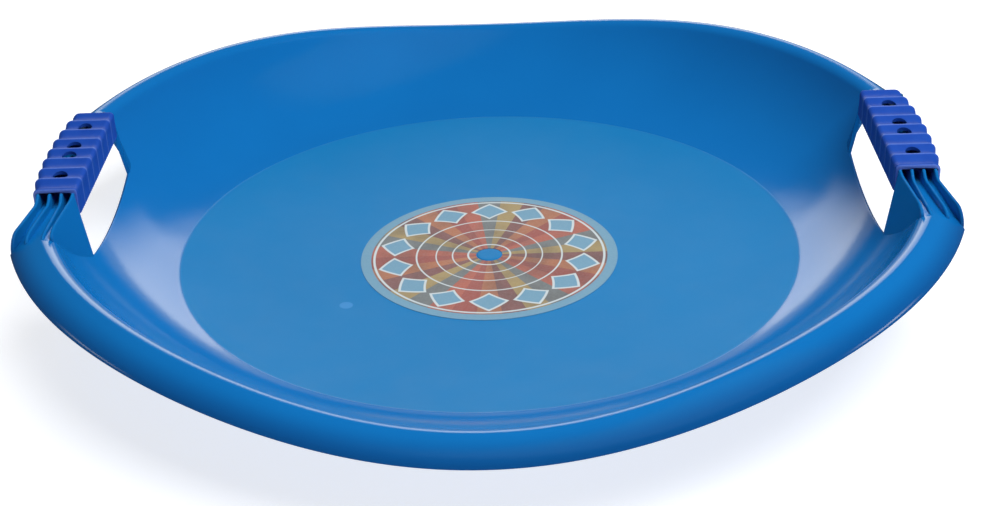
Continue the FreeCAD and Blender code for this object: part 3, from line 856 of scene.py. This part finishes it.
def shell_plastic():
    """Glossy moulded plastic with painted shade that darkens the lip towards its lower edge, a satin
    floor and a pale ejector mark on it.
    """
    material, tree, shader, place = new_material("shell_plastic")
    across, along = split(tree, place)[:2]
    radius = distance(tree, across, along)
    wall = soft_step(tree, radius, FLOOR_RADIUS - GLOSS_CHANGE, FLOOR_RADIUS + GLOSS_CHANGE)
    cloud = noise(tree, place, *SHELL_CLOUD)
    floor_colour = blend(tree, cloud, FLOOR_DEEP, FLOOR_LIGHT)
    wall_colour = blend(tree, cloud, WALL_DEEP, WALL_LIGHT)
    # Painted shade on the lip, darker towards its lower edge
    wall_colour = blend(tree, soft_step(tree, radius, *LIP_SHADE_RADII), wall_colour, LIP_PAINTED_SHADE)
    colour = blend(tree, wall, floor_colour, wall_colour)
    mark_across = maths(tree, "SUBTRACT", across, MARK_PLACE[0])
    mark_along = maths(tree, "SUBTRACT", along, MARK_PLACE[1])
    from_mark = distance(tree, mark_across, mark_along)
    on_mark = soft_step(tree, from_mark, MARK_RADIUS, MARK_RADIUS - MARK_EDGE)
    mark = maths(tree, "MULTIPLY", on_mark, MARK_SHARE)
    feed(tree, shader.inputs["Base Color"], blend(tree, mark, colour, SHELL_MARK))
    under_grip = soft_step(tree, maths(tree, "ABSOLUTE", along), BAR_END, BAR_END - COVERED_EDGE)
    on_bar = soft_step(tree, maths(tree, "ABSOLUTE", across), GRIP_INNER, GRIP_INNER + COVERED_EDGE)
    bare = ranged(tree, maths(tree, "MULTIPLY", under_grip, on_bar), WALL_GLOSS, COVERED_GLOSS)
    gloss = ranged(tree, wall, FLOOR_GLOSS, bare)
    haze = ranged(tree, noise(tree, place, *SHELL_HAZE), *SHELL_HAZE_RANGE)
    feed(tree, shader.inputs["Roughness"], maths(tree, "MULTIPLY", gloss, haze))
    grain = noise(tree, place, *SHELL_GRAIN)
    wave = noise(tree, place, *SHELL_WAVE)
    relief = maths(tree, "ADD", maths(tree, "MULTIPLY", wave, WAVE_SHARE), grain)
    bumps(tree, shader, relief, ranged(tree, wall, FLOOR_BUMPS, WALL_BUMPS), SHELL_RELIEF)
    shader.inputs["IOR"].default_value = SHELL_IOR
    return material


def grip_plastic():
    """Satin plastic with a fine grain, and a painted highlight along the crests of the ridges that a
    noise makes patchy.
    """
    material, tree, shader, place = new_material("grip_plastic")
    along = split(tree, place)[1]
    colour = blend(tree, noise(tree, place, *GRIP_CLOUD), GRIP_DEEP, GRIP_LIGHT)
    turns = maths(tree, "MULTIPLY", maths(tree, "ADD", along, GRIP_HALF), math.pi / GRIP_PITCH)
    from_crest = maths(tree, "ABSOLUTE", maths(tree, "SINE", turns))
    # Painted highlight along the crests, made patchy by a noise
    crest = soft_step(tree, from_crest, *CREST_FADE)
    patchy = ranged(tree, noise(tree, place, *CREST_PATCHES), *CREST_PATCH_RANGE)
    crest_highlight = maths(tree, "MULTIPLY", crest, patchy)
    feed(tree, shader.inputs["Base Color"], blend(tree, crest_highlight, colour, GRIP_CREST_HIGHLIGHT))
    haze = ranged(tree, noise(tree, place, *GRIP_HAZE), *GRIP_HAZE_RANGE)
    feed(tree, shader.inputs["Roughness"], maths(tree, "MULTIPLY", haze, GRIP_GLOSS))
    bumps(tree, shader, noise(tree, place, *GRIP_GRAIN), GRIP_BUMPS, GRIP_RELIEF)
    shader.inputs["Specular IOR Level"].default_value = GRIP_SPECULAR
    return material


def ray_colours(tree, angle):
    """Sunburst of coloured rays around the middle."""
    share = maths(tree, "FRACT", maths(tree, "MULTIPLY", angle, RAY_ROUNDS / (2.0 * math.pi)))
    ramp = tree.nodes.new("ShaderNodeValToRGB")
    ramp.color_ramp.interpolation = "CONSTANT"
    stops = ramp.color_ramp.elements
    stops[0].color = PRINT_RAYS[0]
    stops.remove(stops[1])
    for number, colour in enumerate(PRINT_RAYS[1:], 1):
        stops.new(number / len(PRINT_RAYS)).color = colour
    tree.links.new(share, ramp.inputs[0])
    return ramp.outputs[0]


def lozenge_reach(tree, angle, radius):
    """One at the edge of each lozenge in a band of them, less inside it."""
    share = maths(tree, "FRACT", maths(tree, "MULTIPLY", angle, LOZENGES / (2.0 * math.pi)))
    aside = maths(tree, "ABSOLUTE", maths(tree, "SUBTRACT", share, 0.5))
    step = 2.0 * math.pi * LOZENGE_RADIUS / LOZENGES
    wide = maths(tree, "MULTIPLY", aside, step / LOZENGE_LONG)
    above = maths(tree, "ABSOLUTE", maths(tree, "SUBTRACT", radius, LOZENGE_RADIUS))
    return maths(tree, "ADD", wide, maths(tree, "DIVIDE", above, LOZENGE_HIGH))


def label_print():
    """Round print: rays, thin rings, a band of lozenges and a pale border, on semi-gloss foil."""
    material, tree, shader, place = new_material("label_print")
    across, along = split(tree, place)[:2]
    radius = distance(tree, across, along)
    angle = maths(tree, "ADD", maths(tree, "ARCTAN2", along, across), math.pi)
    colour = ray_colours(tree, angle)
    mist = soft_step(tree, noise(tree, place, *PRINT_MIST), *MIST_EDGES)
    colour = blend(tree, maths(tree, "MULTIPLY", mist, MIST_SHARE), colour, PRINT_DARK)
    for ring, half in PRINT_RINGS:
        away = maths(tree, "ABSOLUTE", maths(tree, "SUBTRACT", radius, ring))
        on_ring = soft_step(tree, away, half + PRINT_BLUR, half - PRINT_BLUR)
        colour = blend(tree, on_ring, colour, PRINT_WHITE)
    reach = lozenge_reach(tree, angle, radius)
    for edge, paint in ((LOZENGE_EDGE, PRINT_WHITE), (1.0, PRINT_BLUE)):
        inside = soft_step(tree, reach, edge + LOZENGE_BLUR, edge - LOZENGE_BLUR)
        colour = blend(tree, inside, colour, paint)
    border = soft_step(tree, radius, PRINT_BORDER - PRINT_BLUR, PRINT_BORDER + PRINT_BLUR)
    colour = blend(tree, border, colour, PRINT_BLUE)
    fade = maths(tree, "MULTIPLY", noise(tree, place, *PRINT_FADE), FADE_SHARE)
    feed(tree, shader.inputs["Base Color"], blend(tree, fade, colour, PRINT_WHITE))
    gloss = ranged(tree, noise(tree, place, *LABEL_HAZE), *LABEL_GLOSS_RANGE)
    feed(tree, shader.inputs["Roughness"], gloss)
    bumps(tree, shader, noise(tree, place, *LABEL_WAVE), LABEL_BUMPS, LABEL_RELIEF)
    return material


# Stage, light and camera
# The camera is in millimetres of the frame, but for sensor and pixels. Stage and lights are in metres.

PHOTO_WIDTH = 983.0
SENSOR = 36.0
FOCAL_PIXELS = 1701.54
VIEW_DISTANCE = 1087.63
VIEW_ELEVATION = math.radians(28.447)
VIEW_ROLL = math.radians(2.136)
VIEW_YAW = math.radians(-1.162)
AIM = Vector((0.0, 0.0, 3.3))
SHIFT = Vector((0.0023, 0.0015))

STAGE_HALF = 6.0
STAGE_COLOUR = (0.5, 0.5, 0.5, 1.0)
STAGE_GLOW = 1.5
SURROUND_COLOUR = (1.0, 1.0, 1.0, 1.0)
SURROUND_GLOW = 0.05
KEY_PLACE = (0.72, -0.45, 2.1)
KEY_SIZE = (2.0, 1.6)
KEY_POWER = 64.5
KEY_COLOUR = (0.92, 0.95, 1.0)
PANEL_COLOUR = (1.0, 0.955, 0.84)
PANEL_MIDDLE = 0.5
FADE_START = 0.10
FADE_END = 0.47
PANELS = (
    ("back_panel", (-0.1, 3.0, 1.23), (3.4, 1.0), 30.0),
    ("back_upper", (-0.1, 3.0, 1.92), (2.2, 0.36), 2.8),
    ("back_lower", (0.0, 3.0, 0.38), (4.0, 0.7), 4.6),
    ("right_panel", (2.8, -0.1, 0.55), (1.6, 0.4), 9.0),
    ("left_panel", (-2.8, -0.1, 0.55), (1.6, 0.4), 4.0),
)


def make_camera():
    """Camera at the photograph's angle, aimed at the middle of the label."""
    right = Vector((math.cos(VIEW_YAW), -math.sin(VIEW_YAW), 0.0))
    ahead_flat = Vector((math.sin(VIEW_YAW), math.cos(VIEW_YAW), 0.0))
    ahead = ahead_flat * math.cos(VIEW_ELEVATION) - Vector((0.0, 0.0, math.sin(VIEW_ELEVATION)))
    above = ahead_flat * math.sin(VIEW_ELEVATION) + Vector((0.0, 0.0, math.cos(VIEW_ELEVATION)))
    side = right * math.cos(VIEW_ROLL) - above * math.sin(VIEW_ROLL)
    up = right * math.sin(VIEW_ROLL) + above * math.cos(VIEW_ROLL)
    place = (AIM - ahead * VIEW_DISTANCE) * MM
    data = bpy.data.cameras.new("camera")
    data.sensor_width = SENSOR
    data.lens = FOCAL_PIXELS * SENSOR / PHOTO_WIDTH
    data.shift_x, data.shift_y = SHIFT
    camera = bpy.data.objects.new("camera", data)
    turn = Matrix((side, up, -ahead)).transposed().to_4x4()
    camera.matrix_world = Matrix.Translation(place) @ turn
    bpy.context.scene.collection.objects.link(camera)
    bpy.context.scene.camera = camera


def make_stage():
    """Plain pale floor, which the sled's gloss doesn't mirror."""
    mesh = bpy.data.meshes.new("studio_floor")
    sides = ((-1, -1), (1, -1), (1, 1), (-1, 1))
    corners = [(across * STAGE_HALF, along * STAGE_HALF, 0.0) for across, along in sides]
    mesh.from_pydata(corners, [], [(0, 1, 2, 3)])
    floor = bpy.data.objects.new("studio_floor", mesh)
    bpy.context.scene.collection.objects.link(floor)
    material, shader = plain_material("studio_white")
    shader.inputs["Base Color"].default_value = STAGE_COLOUR
    shader.inputs["Emission Color"].default_value = STAGE_COLOUR
    shader.inputs["Emission Strength"].default_value = STAGE_GLOW
    shader.inputs["Roughness"].default_value = 1.0
    shader.inputs["Specular IOR Level"].default_value = 0.0
    mesh.materials.append(material)
    floor.visible_glossy = False


def area_light(name, place, size, power):
    """Rectangular light that faces the sled."""
    data = bpy.data.lights.new(name, "AREA")
    data.shape = "RECTANGLE"
    data.size, data.size_y = size
    data.energy = power
    light = bpy.data.objects.new(name, data)
    light.location = place
    light.rotation_euler = (-Vector(place)).to_track_quat("-Z", "Y").to_euler()
    bpy.context.scene.collection.objects.link(light)
    return light


def fade_ends(light):
    """Let a panel fade towards its left and right end, so that its mirror image has no hard end."""
    light.use_nodes = True
    tree = light.node_tree
    place = tree.nodes.new("ShaderNodeNewGeometry").outputs["Parametric"]
    aside = maths(tree, "ABSOLUTE", maths(tree, "SUBTRACT", split(tree, place)[0], PANEL_MIDDLE))
    feed(tree, tree.nodes["Emission"].inputs["Strength"], soft_step(tree, aside, FADE_END, FADE_START))


def make_light():
    """Soft key from above on the right, and bright panels around that walls and lip mirror."""
    world = bpy.data.worlds.new("surround")
    bpy.context.scene.world = world
    world.use_nodes = True
    surround = world.node_tree.nodes["Background"]
    surround.inputs["Color"].default_value = SURROUND_COLOUR
    surround.inputs["Strength"].default_value = SURROUND_GLOW
    key = area_light("key", KEY_PLACE, KEY_SIZE, KEY_POWER)
    key.visible_glossy = False
    key.data.color = KEY_COLOUR
    for panel in PANELS:
        lamp = area_light(*panel)
        lamp.visible_camera = False
        lamp.data.color = PANEL_COLOUR
        fade_ends(lamp.data)
    bpy.context.scene.view_settings.view_transform = "Standard"


# The dressed sled on its stage

shell = make_shell()
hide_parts("sled_shell")
shell_look, grip_look, label_look = shell_plastic(), grip_plastic(), label_print()
dressed = [(shell, shell_look, "shell")]
for side, word in ((1, "right"), (-1, "left")):
    dressed += [(piece, shell_look, "shell") for piece in make_bar(side, word)]
    grip = make_grip(side, word)
    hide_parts(word + "_grip")
    dressed.append((grip, grip_look, "grip"))
label = make_label()
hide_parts("label")
dressed.append((label, label_look, "label"))
for piece, look, slot in dressed:
    piece.data.materials.append(look)
    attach(piece, "root")
make_stage()
make_light()
make_camera()
